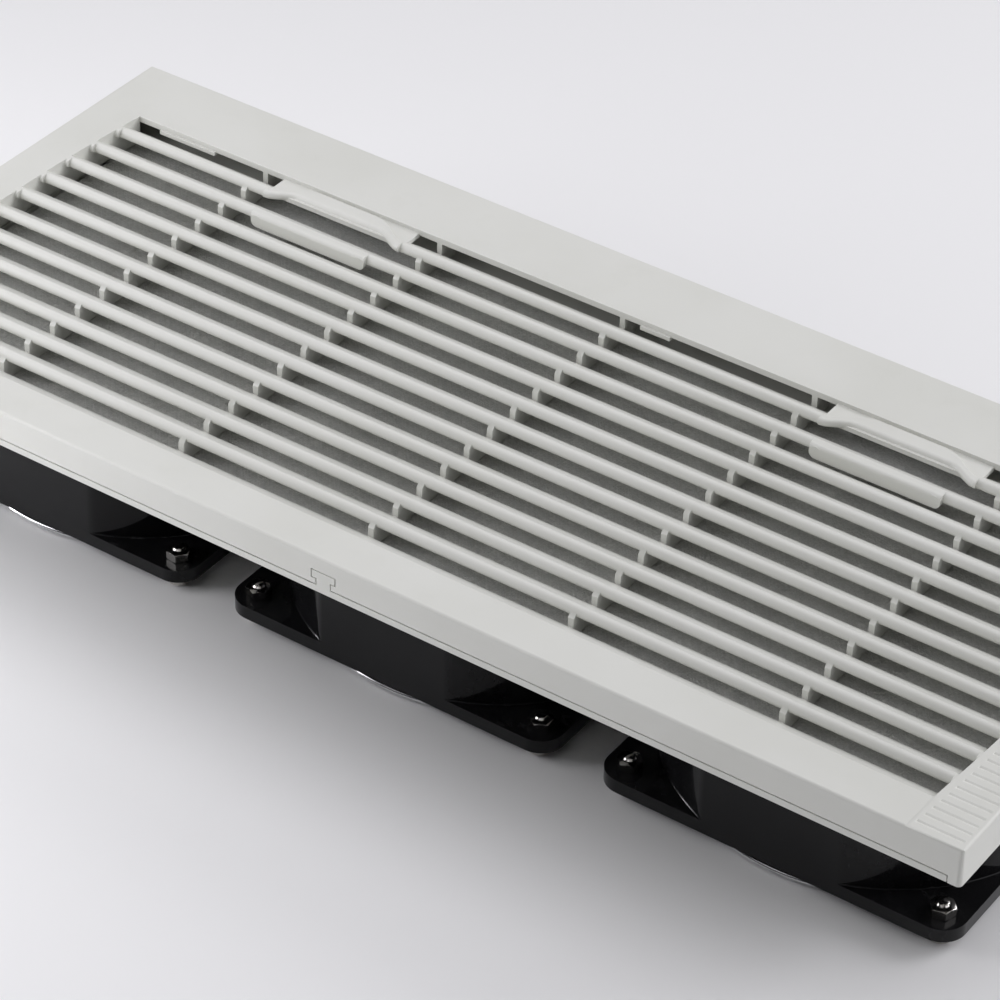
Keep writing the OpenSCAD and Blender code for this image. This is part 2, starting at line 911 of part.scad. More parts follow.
module shaft() {
    color(steel)
        translate([0, 0, shaft_z])
            cylinder(r = shaft_r, h = rotor_top - shaft_z);
}

module bearings() {
    seat = 1.5;
    color(steel)
        for (z = [motor_plate_t + seat, tube_top - bearing_w - seat])
            translate([0, 0, z])
                difference() {
                    cylinder(r = bearing_r, h = bearing_w);
                    translate([0, 0, -fuse])
                        cylinder(r = shaft_r + run_clear, h = bearing_w + 2 * fuse);
                }
}

module stator() {
    slots = 8;
    slot_w = 3;
    slot_l = 3.5;
    color([0.45, 0.45, 0.47])
        difference() {
            translate([0, 0, stator_z])
                cylinder(r = stator_r, h = stator_h);
            cylinder(r = tube_r, h = fan_h);
            for (i = [0 : slots - 1])
                rotate([0, 0, 360 * i / slots])
                    translate([stator_r - slot_l, -slot_w / 2, 0])
                        cube([2 * slot_l, slot_w, fan_h]);
        }
}

module winding() {
    color([0.72, 0.42, 0.2])
        for (z = [stator_z - coil_h, stator_z + stator_h])
            translate([0, 0, z])
                difference() {
                    cylinder(r = stator_r - 4, h = coil_h);
                    translate([0, 0, -fuse])
                        cylinder(r = tube_r + 1, h = coil_h + 2 * fuse);
                }
}

module terminals() {
    color(steel)
        terminal_pose()
            tab_pair(0);
}

module guard() {
    step = (guard_r - guard_inner_r) / (guard_rings - 1);
    eye_r = screw_d / 2 + wire_d / 2 + nut_clear * 8;
    reach = fan_hole_pitch / sqrt(2) - eye_r;
    color(steel)
        translate([0, 0, -fan_z]) {
            for (i = [0 : guard_rings - 1])
                translate([0, 0, ring_z])
                    rotate_extrude($fn = 96)
                        translate([guard_inner_r + i * step, 0])
                            circle(d = wire_d, $fn = 24);
            for (i = [0 : 3])
                rotate([0, 0, 45 + 90 * i])
                    translate([guard_inner_r - wire_d / 2, 0, wire_z])
                        rotate([0, 90, 0])
                            cylinder(d = wire_d, h = reach - guard_inner_r + wire_d / 2, $fn = 24);
            at_corners(fan_hole_pitch)
                translate([0, 0, wire_z])
                    rotate_extrude()
                        translate([eye_r, 0])
                            circle(d = wire_d, $fn = 24);
        }
}

louvre_cover();
base_frame();
filter_mat();
panel_gasket();
fan_screws();
fan_nuts();
guard_screws();
guard_nuts();
for (k = [1 : fans]) {
    at_fan(k) housing();
    at_fan(k) impeller();
    at_fan(k) rotor_cup();
    at_fan(k) shaft();
    at_fan(k) bearings();
    at_fan(k) stator();
    at_fan(k) winding();
    at_fan(k) terminals();
    at_fan(k) guard();
}
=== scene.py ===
import json
import math
import random

import bmesh
import bpy
from mathutils import Matrix, Vector, noise


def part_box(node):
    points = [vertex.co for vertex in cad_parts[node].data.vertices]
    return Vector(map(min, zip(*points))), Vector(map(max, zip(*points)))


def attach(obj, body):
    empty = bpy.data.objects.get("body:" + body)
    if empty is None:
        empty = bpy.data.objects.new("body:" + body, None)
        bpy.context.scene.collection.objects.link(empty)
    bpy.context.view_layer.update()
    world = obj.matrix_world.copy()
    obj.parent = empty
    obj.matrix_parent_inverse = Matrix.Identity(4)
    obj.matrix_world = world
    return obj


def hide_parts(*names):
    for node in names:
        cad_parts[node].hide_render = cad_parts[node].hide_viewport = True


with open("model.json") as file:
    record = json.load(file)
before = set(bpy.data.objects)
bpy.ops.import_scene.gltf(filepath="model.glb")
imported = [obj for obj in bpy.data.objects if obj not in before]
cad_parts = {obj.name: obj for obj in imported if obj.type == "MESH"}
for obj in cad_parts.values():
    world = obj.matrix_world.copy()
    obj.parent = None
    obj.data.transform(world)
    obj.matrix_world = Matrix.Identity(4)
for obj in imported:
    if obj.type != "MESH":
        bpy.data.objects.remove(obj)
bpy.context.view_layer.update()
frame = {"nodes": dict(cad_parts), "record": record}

MM = 0.001
FANS = (1, 2, 3)

# Camera, fitted to the ribs, the louvres and the nuts of the photograph
VIEW_PLACE = Vector((545.06, -809.58, 774.61)) * MM
VIEW_AZIMUTH = math.radians(34.016)
VIEW_ELEVATION = math.radians(37.160)
VIEW_ROLL = math.radians(1.487)
SENSOR = 36.0
FRAME_PIXELS = 1000
FOCAL_PIXELS = 4007.8
FARTHEST = 50.0

# Studio
FLOOR_SIZE = 14.0
FLOOR_COLOUR = (0.865, 0.865, 0.865, 1.0)
FLOOR_CLOUD = 0.985
LIGHT_COLOUR = (0.99, 0.982, 1.018)
SKY_STRENGTH = 0.03

# Broad lights: the side that each comes from, its spread and its strength
SUNS = {
    "overhead": ((-0.1, -0.1, 1), math.radians(80), 1.06),
    "right_sky": ((1, 0.2, 0.6), math.radians(50), 0.6),
}

# Softboxes: place, target, size and power of each
SOFTBOXES = {
    "left_low": ((-0.48, -0.3, 0.066), (-0.1, -0.09, 0.05), 0.1, 0.85),
    "left_front": ((-0.45, -0.3, 0.25), (-0.1, -0.05, 0.03), 0.3, 1.15),
    "left_top": ((-0.3, 0.1, 0.8), (0, 0, 0.03), 0.5, 1.1),
    "right_back": ((0.8, 0.7, 0.6), (0.1, 0, 0.03), 0.5, 3.3),
    "far_back": ((0.6, 1.0, 0.9), (-0.05, -0.05, 0.03), 0.8, 5.2),
}

# Edges of the finished pieces
WELD = 0.002 * MM
FLAT = math.radians(0.6)
SHARP = math.radians(28)
CREASE = math.radians(50)
FASTENER_CREASE = math.radians(35)
FLEECE_CREASE = math.radians(80)
BEVEL_ROOM = 2.5
PLASTIC_EDGE = 0.14 * MM
ENAMEL_EDGE = 0.5 * MM
VANE_EDGE = 0.25 * MM
TAB_EDGE = 0.15 * MM

# Direction along which the parts of a mesh are put in order, steep enough to leave no ties
ORDER = Vector((1.0, 53.0, 371.0))

# Louvres of the cover. The angles on the noses' round are in degrees, 90 at the top and 0 at the front
LOUVRES = 11
LOUVRE_PITCH = 12.0 * MM
FIRST_BACK = 55.0 * MM
PLATE_RISE = 0.45 * MM
NOSE_WIDTH = 3.5 * MM
NOSE_ROUND = 2.0 * MM
NOSE_FLAT = 0.2 * MM
NOSE_STEPS = 6
NOSE_TOP = 90
NOSE_MEETS_RIB = 10
NOSE_FOOT = -30
NOSE_END = 1.0 * MM
KNIFE_REACH = 1.0 * MM
NEAR = 0.02 * MM
RIB_PLACES = [k * 70.0 * MM for k in (-2, -1, 0, 1, 2)]
RIB_WIDTH = 2.0 * MM
GRIP_PLACES = [-105.0 * MM, 105.0 * MM]
HELD_LENGTHS = [54.0 * MM, 45.0 * MM]

# Fasteners
HOLE_PITCH = 104.8 * MM
SCREW_RADIUS = 2.0 * MM
HEAD_RADIUS = 4.0 * MM
HEAD_HEIGHT = 2.4 * MM
HEAD_ROUND = ((0.0, 0.82), (0.15 * MM, 0.95), (0.45 * MM, 1.0))
THREAD_PITCH = 0.7 * MM
THREAD_DEPTH = 0.34 * MM
THREAD_LENGTH = 7.0 * MM
TIP_LENGTH = 0.3 * MM
TIP_STEP = 0.2 * MM
TIP_SHARE = 0.62
RECESS_WIDTH = 1.3 * MM
RECESS_DEPTH = 1.3 * MM
RECESS_TAPER = 0.55
NUT_FLATS = 7.0 * MM
NUT_FACE = 0.96
NUT_SLOPE = math.radians(30)
NUT_CHAMFER = 0.3 * MM
NUT_PLAY = 0.05 * MM
SCREW_TURN = 0.41
NUT_TURN = 0.23
ROUND = 24

# Fleece
FLEECE_STEP = 1.6 * MM
FLEECE_EDGE = 2.4 * MM
FLEECE_FALL = 0.7
FLEECE_LOFT = 0.45 * MM
FLEECE_LUMPS = ((55, 0.6), (190, 0.4))
FELT_STRETCH = (1.0, 9.0, 4.0)
# Radii over which the painted shade over the fans' openings fades out
FAN_SHADE_RADII = (40 * MM, 64 * MM)
FIBRES = 5200
FIBRE_RADIUS = 0.035 * MM
FIBRE_LENGTH = (5 * MM, 16 * MM)
FIBRE_POINTS = 5
FIBRE_LIFT = 0.16 * MM
FIBRE_BEND = 0.45
FIBRE_WANDER = 0.2
FIBRE_SEED = 7

# Gasket
GASKET_ROUND = 0.7 * MM

# Metals: darker tone, lighter tone, roughness and scale of the turned marks
METALS = {
    "rotor_steel": ((0.40, 0.40, 0.41, 1), (0.52, 0.52, 0.52, 1), 0.34, 700.0),
    "ground_steel": ((0.58, 0.58, 0.59, 1), (0.72, 0.72, 0.72, 1), 0.2, 900.0),
    "bright_steel": ((0.64, 0.62, 0.59, 1), (0.82, 0.80, 0.77, 1), 0.11, 1200.0),
    "guard_chrome": ((0.66, 0.66, 0.67, 1), (0.80, 0.80, 0.81, 1), 0.12, 500.0),
}


# Node trees

class Graph:
    """Adds nodes to a tree. A value that is a socket is linked, any other is set."""

    def __init__(self, tree):
        self.tree = tree

    def feed(self, socket, value):
        if isinstance(value, bpy.types.NodeSocket):
            self.tree.links.new(value, socket)
        else:
            socket.default_value = value

    def node(self, kind, inputs=None, **options):
        made = self.tree.nodes.new(kind)
        for option, value in options.items():
            setattr(made, option, value)
        for socket, value in (inputs or {}).items():
            self.feed(made.inputs[socket], value)
        return made

    def maths(self, operation, first, second=0.0):
        made = self.node("ShaderNodeMath", {0: first, 1: second}, operation=operation)
        return made.outputs[0]

    def mix(self, share, first, second):
        made = self.node("ShaderNodeMix", {0: share, 6: first, 7: second}, data_type="RGBA")
        return made.outputs[2]

    def span(self, value, low, high, start=0.0, end=1.0):
        inputs = {0: value, 1: low, 2: high, 3: start, 4: end}
        made = self.node("ShaderNodeMapRange", inputs, interpolation_type="SMOOTHSTEP")
        return made.outputs[0]

    def place(self, turn=(0, 0, 0), stretch=(1, 1, 1)):
        coordinates = self.node("ShaderNodeTexCoord")
        inputs = {"Vector": coordinates.outputs["Object"], "Rotation": turn, "Scale": stretch}
        return self.node("ShaderNodeMapping", inputs).outputs[0]

    def noise(self, scale, detail=2.0, roughness=0.5, vector=None):
        inputs = {"Scale": scale, "Detail": detail, "Roughness": roughness}
        inputs["Vector"] = self.place() if vector is None else vector
        return self.node("ShaderNodeTexNoise", inputs).outputs[0]

    def bump(self, height, depth, strength=1.0):
        inputs = {"Height": height, "Distance": depth, "Strength": strength}
        return self.node("ShaderNodeBump", inputs).outputs[0]

    def effect(self, group, **inputs):
        made = self.node("ShaderNodeGroup", node_tree=group)
        for name, value in inputs.items():
            self.feed(made.inputs[name.capitalize()], value)
        return made.outputs


def effect_group(name, inputs, outputs):
    """An empty shader node group with float sockets: its graph, input sockets and output node."""
    tree = bpy.data.node_groups.new(name, "ShaderNodeTree")
    for socket, value in inputs.items():
        made = tree.interface.new_socket(socket, in_out="INPUT", socket_type="NodeSocketFloat")
        made.default_value = value
    for socket in outputs:
        tree.interface.new_socket(socket, in_out="OUTPUT", socket_type="NodeSocketFloat")
    graph = Graph(tree)
    source = graph.node("NodeGroupInput")
    target = graph.node("NodeGroupOutput")
    return tree, graph, source.outputs, target.inputs


def moulded_skin():
    """The fine eroded texture of a mould, and slow changes of tone across the moulding."""
    tree, graph, given, out = effect_group("moulded_skin", {"Grain": 2600.0}, ("Height", "Tone"))
    fine = graph.noise(given["Grain"], 3.0, 0.6)
    broad = graph.noise(graph.maths("MULTIPLY", given["Grain"], 0.16), 2.0, 0.5)
    graph.feed(out["Height"], graph.maths("ADD", fine, graph.maths("MULTIPLY", broad, 0.8)))
    graph.feed(out["Tone"], graph.span(graph.noise(16.0, 4.0, 0.55), 0.3, 0.7))
    return tree


def hairlines():
    """Fine straight scuffs along the part, in patches."""
    tree, graph, given, out = effect_group("hairlines", {"Scale": 90.0, "Cover": 0.66}, ("Mask",))
    total = 0.0
    for turn in (0.3, 1.2, 2.4):
        vector = graph.place((0, 0, turn), (1.0, 26.0, 26.0))
        streak = graph.noise(given["Scale"], 1.0, 0.4, vector)
        line = graph.span(streak, given["Cover"], graph.maths("ADD", given["Cover"], 0.06))
        total = graph.maths("MAXIMUM", line, total)
    patches = graph.span(graph.noise(22.0, 2.0), 0.45, 0.62)
    graph.feed(out["Mask"], graph.maths("MULTIPLY", total, patches))
    return tree


def settled_dust():
    """Dust on what faces up, in soft patches."""
    tree, graph, given, out = effect_group("settled_dust", {"Scale": 60.0, "Cover": 0.5}, ("Mask",))
    normal = graph.node("ShaderNodeNewGeometry").outputs["Normal"]
    up = graph.node("ShaderNodeSeparateXYZ", {0: normal}).outputs["Z"]
    facing = graph.span(up, 0.4, 0.95)
    patches = graph.noise(given["Scale"], 4.0, 0.6)
    cover = graph.span(patches, given["Cover"], graph.maths("ADD", given["Cover"], 0.2))
    graph.feed(out["Mask"], graph.maths("MULTIPLY", facing, cover))
    return tree


def rim_wear_and_highlight():
    """Where the rounded edges are lighter, partly from wear and partly as painted highlight, read from
    the pieces' rim layer.
    """
    tree, graph, given, out = effect_group("rim_wear_and_highlight", {"Scale": 140.0, "Cover": 0.5}, ("Mask",))
    rim = graph.node("ShaderNodeAttribute", attribute_name="rim").outputs["Fac"]
    patches = graph.noise(given["Scale"], 3.0, 0.6)
    cover = graph.span(patches, given["Cover"], graph.maths("ADD", given["Cover"], 0.12))
    graph.feed(out["Mask"], graph.maths("MULTIPLY", rim, cover))
    return tree


def smudges():
    """Broad soft marks that change the gloss."""
    tree, graph, given, out = effect_group("smudges", {"Scale": 34.0}, ("Mask",))
    cloud = graph.noise(given["Scale"], 5.0, 0.62)
    speck = graph.noise(graph.maths("MULTIPLY", given["Scale"], 7.0), 3.0, 0.6)
    both = graph.maths("ADD", graph.maths("MULTIPLY", cloud, 0.7), graph.maths("MULTIPLY", speck, 0.3))
    graph.feed(out["Mask"], graph.span(both, 0.36, 0.64))
    return tree


def felted_fibres():
    """Streaks of matted fibre in several directions, and the lumps of the fleece."""
    tree, graph, given, out = effect_group("felted_fibres", {"Scale": 230.0}, ("Streaks", "Lumps"))
    total = 0.0
    turns = (0.2, 0.9, 1.7, 2.5)
    for turn in turns:
        inputs = {"Vector": graph.place((0, 0, turn)), "Scale": FELT_STRETCH}
        vector = graph.node("ShaderNodeMapping", inputs).outputs[0]
        streak = graph.noise(given["Scale"], 3.0, 0.65, vector)
        total = graph.maths("ADD", total, graph.maths("MULTIPLY", streak, 1.0 / len(turns)))
    graph.feed(out["Streaks"], graph.span(total, 0.38, 0.62))
    graph.feed(out["Lumps"], graph.span(graph.noise(70.0, 4.0, 0.6), 0.32, 0.68))
    return tree


SKIN = moulded_skin()
HAIRLINES = hairlines()
DUST = settled_dust()
RIM_WEAR_AND_HIGHLIGHT = rim_wear_and_highlight()
SMUDGES = smudges()
FELT = felted_fibres()


# Finishes

def new_finish(name, **constants):
    """A material with a plain shader, its graph and that shader's sockets."""
    material = bpy.data.materials.new(name)
    material.use_nodes = True
    shader = material.node_tree.nodes["Principled BSDF"].inputs
    for socket, value in constants.items():
        shader[socket.replace("_", " ")].default_value = value
    return material, Graph(material.node_tree), shader


def grey(level, warmth=0.0):
    """A light grey, a little warm."""
    return (level, level * (1 + 0.006 * warmth), level * (1 - 0.06 * warmth), 1.0)


def moulded_plastic(name, level, gloss):
    """Satin light grey moulded plastic."""
    material, graph, shader = new_finish(name)
    skin = graph.effect(SKIN, grain=2600.0)
    colour = graph.mix(skin["Tone"], grey(level * 0.975, 1.0), grey(level * 1.015, 0.85))
    # Lighter rims along the rounded edges: partly wear, partly painted highlight
    rubbed_and_lit = graph.effect(RIM_WEAR_AND_HIGHLIGHT, scale=90.0, cover=0.5)["Mask"]
    colour = graph.mix(graph.maths("MULTIPLY", rubbed_and_lit, 0.45), colour, grey(level * 1.12, 0.6))
    dust = graph.effect(DUST, scale=75.0, cover=0.52)["Mask"]
    colour = graph.mix(graph.maths("MULTIPLY", dust, 0.10), colour, grey(level * 0.82, 1.6))
    lines = graph.effect(HAIRLINES, scale=80.0, cover=0.67)["Mask"]
    rough = graph.span(skin["Tone"], 0.0, 1.0, gloss - 0.04, gloss + 0.05)
    rough = graph.maths("ADD", rough, graph.maths("MULTIPLY", lines, 0.10))
    graph.feed(shader["Base Color"], colour)
    graph.feed(shader["Roughness"], rough)
    graph.feed(shader["Normal"], graph.bump(skin["Height"], 0.006 * MM))
    return material


def fleece(name):
    """Grey needled fleece, with painted shade over the fans' openings."""
    sheen = {"Sheen_Weight": 0.25, "Sheen_Roughness": 0.6}
    material, graph, shader = new_finish(name, Specular_IOR_Level=0.2, **sheen)
    felt = graph.effect(FELT, scale=230.0)
    colour = graph.mix(felt["Streaks"], (0.64, 0.645, 0.615, 1), (0.92, 0.92, 0.895, 1))
    colour = graph.mix(graph.maths("MULTIPLY", felt["Lumps"], 0.35), colour, (0.80, 0.805, 0.775, 1))
    place = graph.node("ShaderNodeSeparateXYZ", {0: graph.place()}).outputs
    # Painted shade: the fleece is made darker over each fan's opening, as if the dark opening showed
    # through it
    for k in FANS:
        low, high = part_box(f"fan_{k}_shaft")
        across = graph.maths("SUBTRACT", place["X"], (low.x + high.x) / 2)
        along = graph.maths("SUBTRACT", place["Y"], (low.y + high.y) / 2)
        squares = graph.maths("ADD", graph.maths("POWER", across, 2.0), graph.maths("POWER", along, 2.0))
        fan_shade = graph.span(graph.maths("SQRT", squares), *FAN_SHADE_RADII, 0.16, 0.0)
        colour = graph.mix(fan_shade, colour, (0.36, 0.36, 0.335, 1))
    graph.feed(shader["Base Color"], colour)
    graph.feed(shader["Roughness"], graph.span(felt["Lumps"], 0.0, 1.0, 0.86, 0.98))
    height = graph.maths("ADD", felt["Streaks"], graph.maths("MULTIPLY", felt["Lumps"], 0.8))
    graph.feed(shader["Normal"], graph.bump(height, 0.35 * MM, 0.8))
    return material


def loose_fibre(name):
    """Single fibres, paler than the felt they stand on."""
    material, graph, shader = new_finish(name, Sheen_Weight=0.2, Specular_IOR_Level=0.3)
    shade = graph.noise(300.0, 2.0)
    graph.feed(shader["Base Color"], graph.mix(shade, (0.62, 0.62, 0.59, 1), (0.88, 0.88, 0.86, 1)))
    graph.feed(shader["Roughness"], graph.span(shade, 0.3, 0.7, 0.6, 0.85))
    return material


def foam_rubber(name):
    """Black closed-cell foam with fine pores."""
    material, graph, shader = new_finish(name, Specular_IOR_Level=0.35)
    inputs = {"Vector": graph.place(), "Scale": 1500.0}
    cells = graph.node("ShaderNodeTexVoronoi", inputs).outputs["Distance"]
    pores = graph.span(cells, 0.1, 0.5)
    graph.feed(shader["Base Color"], graph.mix(pores, (0.012, 0.012, 0.012, 1), (0.035, 0.035, 0.034, 1)))
    graph.feed(shader["Roughness"], graph.span(pores, 0.0, 1.0, 0.92, 0.74))
    graph.feed(shader["Normal"], graph.bump(pores, 0.12 * MM))
    return material


def gloss_enamel(name):
    """Gloss black enamel on a casting, with a slight orange peel and lighter edges, partly wear and
    partly painted highlight.
    """
    coat = {"Coat_Weight": 0.07, "Coat_Roughness": 0.04}
    material, graph, shader = new_finish(name, Specular_IOR_Level=0.2, **coat)
    marks = graph.effect(SMUDGES, scale=30.0)["Mask"]
    peel = graph.noise(420.0, 2.0, 0.5)
    # Lighter rims along the rounded edges: partly wear, partly painted highlight
    worn_and_lit = graph.effect(RIM_WEAR_AND_HIGHLIGHT, scale=120.0, cover=0.55)["Mask"]
    dust = graph.effect(DUST, scale=110.0, cover=0.56)["Mask"]
    colour = graph.mix(marks, (0.0060, 0.0060, 0.0066, 1), (0.0095, 0.0095, 0.0102, 1))
    colour = graph.mix(graph.maths("MULTIPLY", worn_and_lit, 0.35), colour, (0.055, 0.055, 0.057, 1))
    colour = graph.mix(graph.maths("MULTIPLY", dust, 0.05), colour, (0.22, 0.22, 0.21, 1))
    rough = graph.span(marks, 0.0, 1.0, 0.07, 0.15)
    rough = graph.maths("ADD", rough, graph.maths("MULTIPLY", dust, 0.12))
    graph.feed(shader["Base Color"], colour)
    graph.feed(shader["Roughness"], rough)
    graph.feed(shader["Normal"], graph.bump(peel, 0.004 * MM))
    return material


def filled_plastic(name):
    """Satin black plastic with the flow streaks of its glass filling."""
    material, graph, shader = new_finish(name)
    skin = graph.effect(SKIN, grain=1800.0)
    flow = graph.noise(120.0, 3.0, 0.6, graph.place((0, 0, 0.6), (1.0, 4.0, 1.0)))
    # Lighter rims along the rounded edges: partly wear, partly painted highlight
    worn_and_lit = graph.effect(RIM_WEAR_AND_HIGHLIGHT, scale=150.0, cover=0.52)["Mask"]
    colour = graph.mix(flow, (0.010, 0.010, 0.0105, 1), (0.022, 0.022, 0.023, 1))
    colour = graph.mix(graph.maths("MULTIPLY", worn_and_lit, 0.4), colour, (0.06, 0.06, 0.062, 1))
    graph.feed(shader["Base Color"], colour)
    graph.feed(shader["Roughness"], graph.span(flow, 0.2, 0.8, 0.36, 0.52))
    graph.feed(shader["Normal"], graph.bump(skin["Height"], 0.01 * MM))
    return material


def bright_metal(name, low, high, rough, grain):
    """Plated or bare metal: two tones, turned marks, and smudges in the gloss."""
    material, graph, shader = new_finish(name, Metallic=1.0)
    marks = graph.noise(grain, 3.0, 0.6, graph.place((0, 0, 0), (1, 1, 6)))
    soiled = graph.effect(SMUDGES, scale=160.0)["Mask"]
    graph.feed(shader["Base Color"], graph.mix(marks, low, high))
    graph.feed(shader["Roughness"], graph.span(soiled, 0.0, 1.0, rough * 0.75, rough * 1.35))
    graph.feed(shader["Normal"], graph.bump(marks, 0.004 * MM))
    return material


def stacked_sheets(name):
    """Electrical steel, stamped and stacked in half-millimetre sheets."""
    material, graph, shader = new_finish(name, Metallic=1.0)
    inputs = {"Vector": graph.place(), "Scale": 1 / (0.5 * MM) / 6.3, "Distortion": 0.3}
    sheets = graph.node("ShaderNodeTexWave", inputs, bands_direction="Z").outputs["Fac"]
    rust = graph.span(graph.noise(160.0, 4.0, 0.6), 0.5, 0.75)
    colour = graph.mix(sheets, (0.16, 0.16, 0.17, 1), (0.36, 0.36, 0.37, 1))
    colour = graph.mix(graph.maths("MULTIPLY", rust, 0.3), colour, (0.20, 0.13, 0.09, 1))
    graph.feed(shader["Base Color"], colour)
    graph.feed(shader["Roughness"], graph.span(rust, 0.0, 1.0, 0.38, 0.6))
    graph.feed(shader["Normal"], graph.bump(sheets, 0.05 * MM))
    return material


def wound_copper(name):
    """Enamelled copper wire, wound in turns."""
    material, graph, shader = new_finish(name, Metallic=1.0, Coat_Weight=0.5, Coat_Roughness=0.12)
    inputs = {"Vector": graph.place(), "Scale": 1 / (0.4 * MM) / 6.3, "Distortion": 1.2}
    turns = graph.node("ShaderNodeTexWave", inputs, wave_type="RINGS", rings_direction="Z").outputs["Fac"]
    colour = graph.mix(turns, (0.20, 0.065, 0.02, 1), (0.62, 0.25, 0.09, 1))
    graph.feed(shader["Base Color"], colour)
    graph.feed(shader["Roughness"], graph.span(turns, 0.0, 1.0, 0.42, 0.24))
    graph.feed(shader["Normal"], graph.bump(turns, 0.12 * MM))
    return material


FINISH = {
    "cover_plastic": moulded_plastic("cover_plastic", 0.71, 0.40),
    "frame_plastic": moulded_plastic("frame_plastic", 0.70, 0.44),
    "filter_fleece": fleece("filter_fleece"),
    "foam_rubber": foam_rubber("foam_rubber"),
    "black_enamel": gloss_enamel("black_enamel"),
    "black_plastic": filled_plastic("black_plastic"),
    "lamination_steel": stacked_sheets("lamination_steel"),
    "coil_copper": wound_copper("coil_copper"),
}
FINISH.update({name: bright_metal(name, *tones) for name, tones in METALS.items()})
LOOSE_FIBRE = loose_fibre("loose_fibre")


def dress_frame():
    """Gives every CAD node the finish of its slot in the record."""
    slots = {part["node"]: part["material_slot"] for part in frame["record"]["subparts"]}
    for name, node in frame["nodes"].items():
        for slot in node.material_slots:
            slot.material = FINISH[slots[name]]


# Pieces

def add_piece(name, mesh, material, body, replaced=()):
    """Puts a mesh in the scene as a piece that rides on a body."""
    mesh.name = name
    mesh.materials.clear()
    mesh.materials.append(material)
    piece = bpy.data.objects.new(name, mesh)
    bpy.context.scene.collection.objects.link(piece)
    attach(piece, body)
    if replaced:
        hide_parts(*replaced)
    return piece


def to_mesh(bm, crease=CREASE):
    """The finished mesh, smooth apart from creases."""
    bm.normal_update()
    for face in bm.faces:
        face.smooth = True
    for edge in bm.edges:
        edge.smooth = edge.calc_face_angle(0.0) <= crease
    mesh = bpy.data.meshes.new("piece")
    bm.to_mesh(mesh)
    bm.free()
    return mesh


def put_in_order(bm):
    """Sorts a mesh by place, since some operators leave another order at each run."""
    bm.verts.sort(key=lambda vert: vert.co.dot(ORDER))
    bm.edges.sort(key=lambda edge: (edge.verts[0].co + edge.verts[1].co).dot(ORDER))
    bm.faces.sort(key=lambda face: face.calc_center_median().dot(ORDER))


def welded(node):
    """A copy of a node's mesh as one closed surface."""
    bm = bmesh.new()
    bm.from_mesh(frame["nodes"][node].data)
    bmesh.ops.remove_doubles(bm, verts=bm.verts, dist=WELD)
    return bm


def carve(bm, knives):
    """Cuts the knives out of a closed surface."""
    mesh = bpy.data.meshes.new("carved")
    bm.to_mesh(mesh)
    body = bpy.data.objects.new("carved", mesh)
    knife = bpy.data.objects.new("knife", knives)
    for item in (body, knife):
        bpy.context.scene.collection.objects.link(item)
    cut = body.modifiers.new("cut", "BOOLEAN")
    cut.operation = "DIFFERENCE"
    cut.solver = "EXACT"
    cut.object = knife
    done = bpy.data.meshes.new_from_object(body.evaluated_get(bpy.context.evaluated_depsgraph_get()))
    bm.clear()
    bm.from_mesh(done)
    bmesh.ops.remove_doubles(bm, verts=bm.verts, dist=WELD)
    for item in (body, knife):
        bpy.data.objects.remove(item)
    for used in (mesh, knives, done):
        bpy.data.meshes.remove(used)


def softened(bm, edge, segments):
    """The finished mesh with its sharp edges rounded, and the rounding marked in the rim layer.

    Edges that end at a vertex with a very short edge stay sharp, as there is no room to round them.
    """
    rim = bm.faces.layers.float.new("rim")
    bmesh.ops.dissolve_limit(bm, angle_limit=FLAT, verts=bm.verts, edges=bm.edges)
    tight = {v for e in bm.edges if e.calc_length() < BEVEL_ROOM * edge for v in e.verts}
    edges = [e for e in bm.edges if e.is_manifold and e.calc_face_angle() > SHARP]
    edges = [e for e in edges if tight.isdisjoint(e.verts)]
    made = bmesh.ops.bevel(bm, geom=edges, offset=edge, offset_type="OFFSET", segments=segments,
                           profile=0.5, affect="EDGES", clamp_overlap=False, material=-1)
    for face in made["faces"]:
        face[rim] = 1.0
    return to_mesh(bm)


def add_softened(name, node, body, slot, edge, segments=2, knives=()):
    """A piece that stands for a node, with rounded edges and normals that keep its flat faces flat."""
    bm = welded(node)
    for knife in knives:
        carve(bm, knife)
    piece = add_piece(name, softened(bm, edge, segments), FINISH[slot], body, [node])
    normals = piece.modifiers.new("flat_faces", "WEIGHTED_NORMAL")
    normals.keep_sharp = True
    return piece


def clear_spans(start, end, blocks):
    """What is left of a span when blocks, each a middle and a width, are taken out."""
    spans = []
    for middle, width in sorted(blocks):
        if middle - width / 2 > start:
            spans.append((start, middle - width / 2))
        start = max(start, middle + width / 2)
    if end > start:
        spans.append((start, end))
    return spans


def nose_arc(start, end):
    """Points of the noses' round: depth behind the front, and height to the top."""
    crest = NOSE_WIDTH - NOSE_FLAT
    points = []
    for step in range(NOSE_STEPS + 1):
        turn = math.radians(start + (end - start) * step / NOSE_STEPS)
        points.append((crest - NOSE_ROUND * math.cos(turn), NOSE_ROUND * (math.sin(turn) - 1)))
    return points


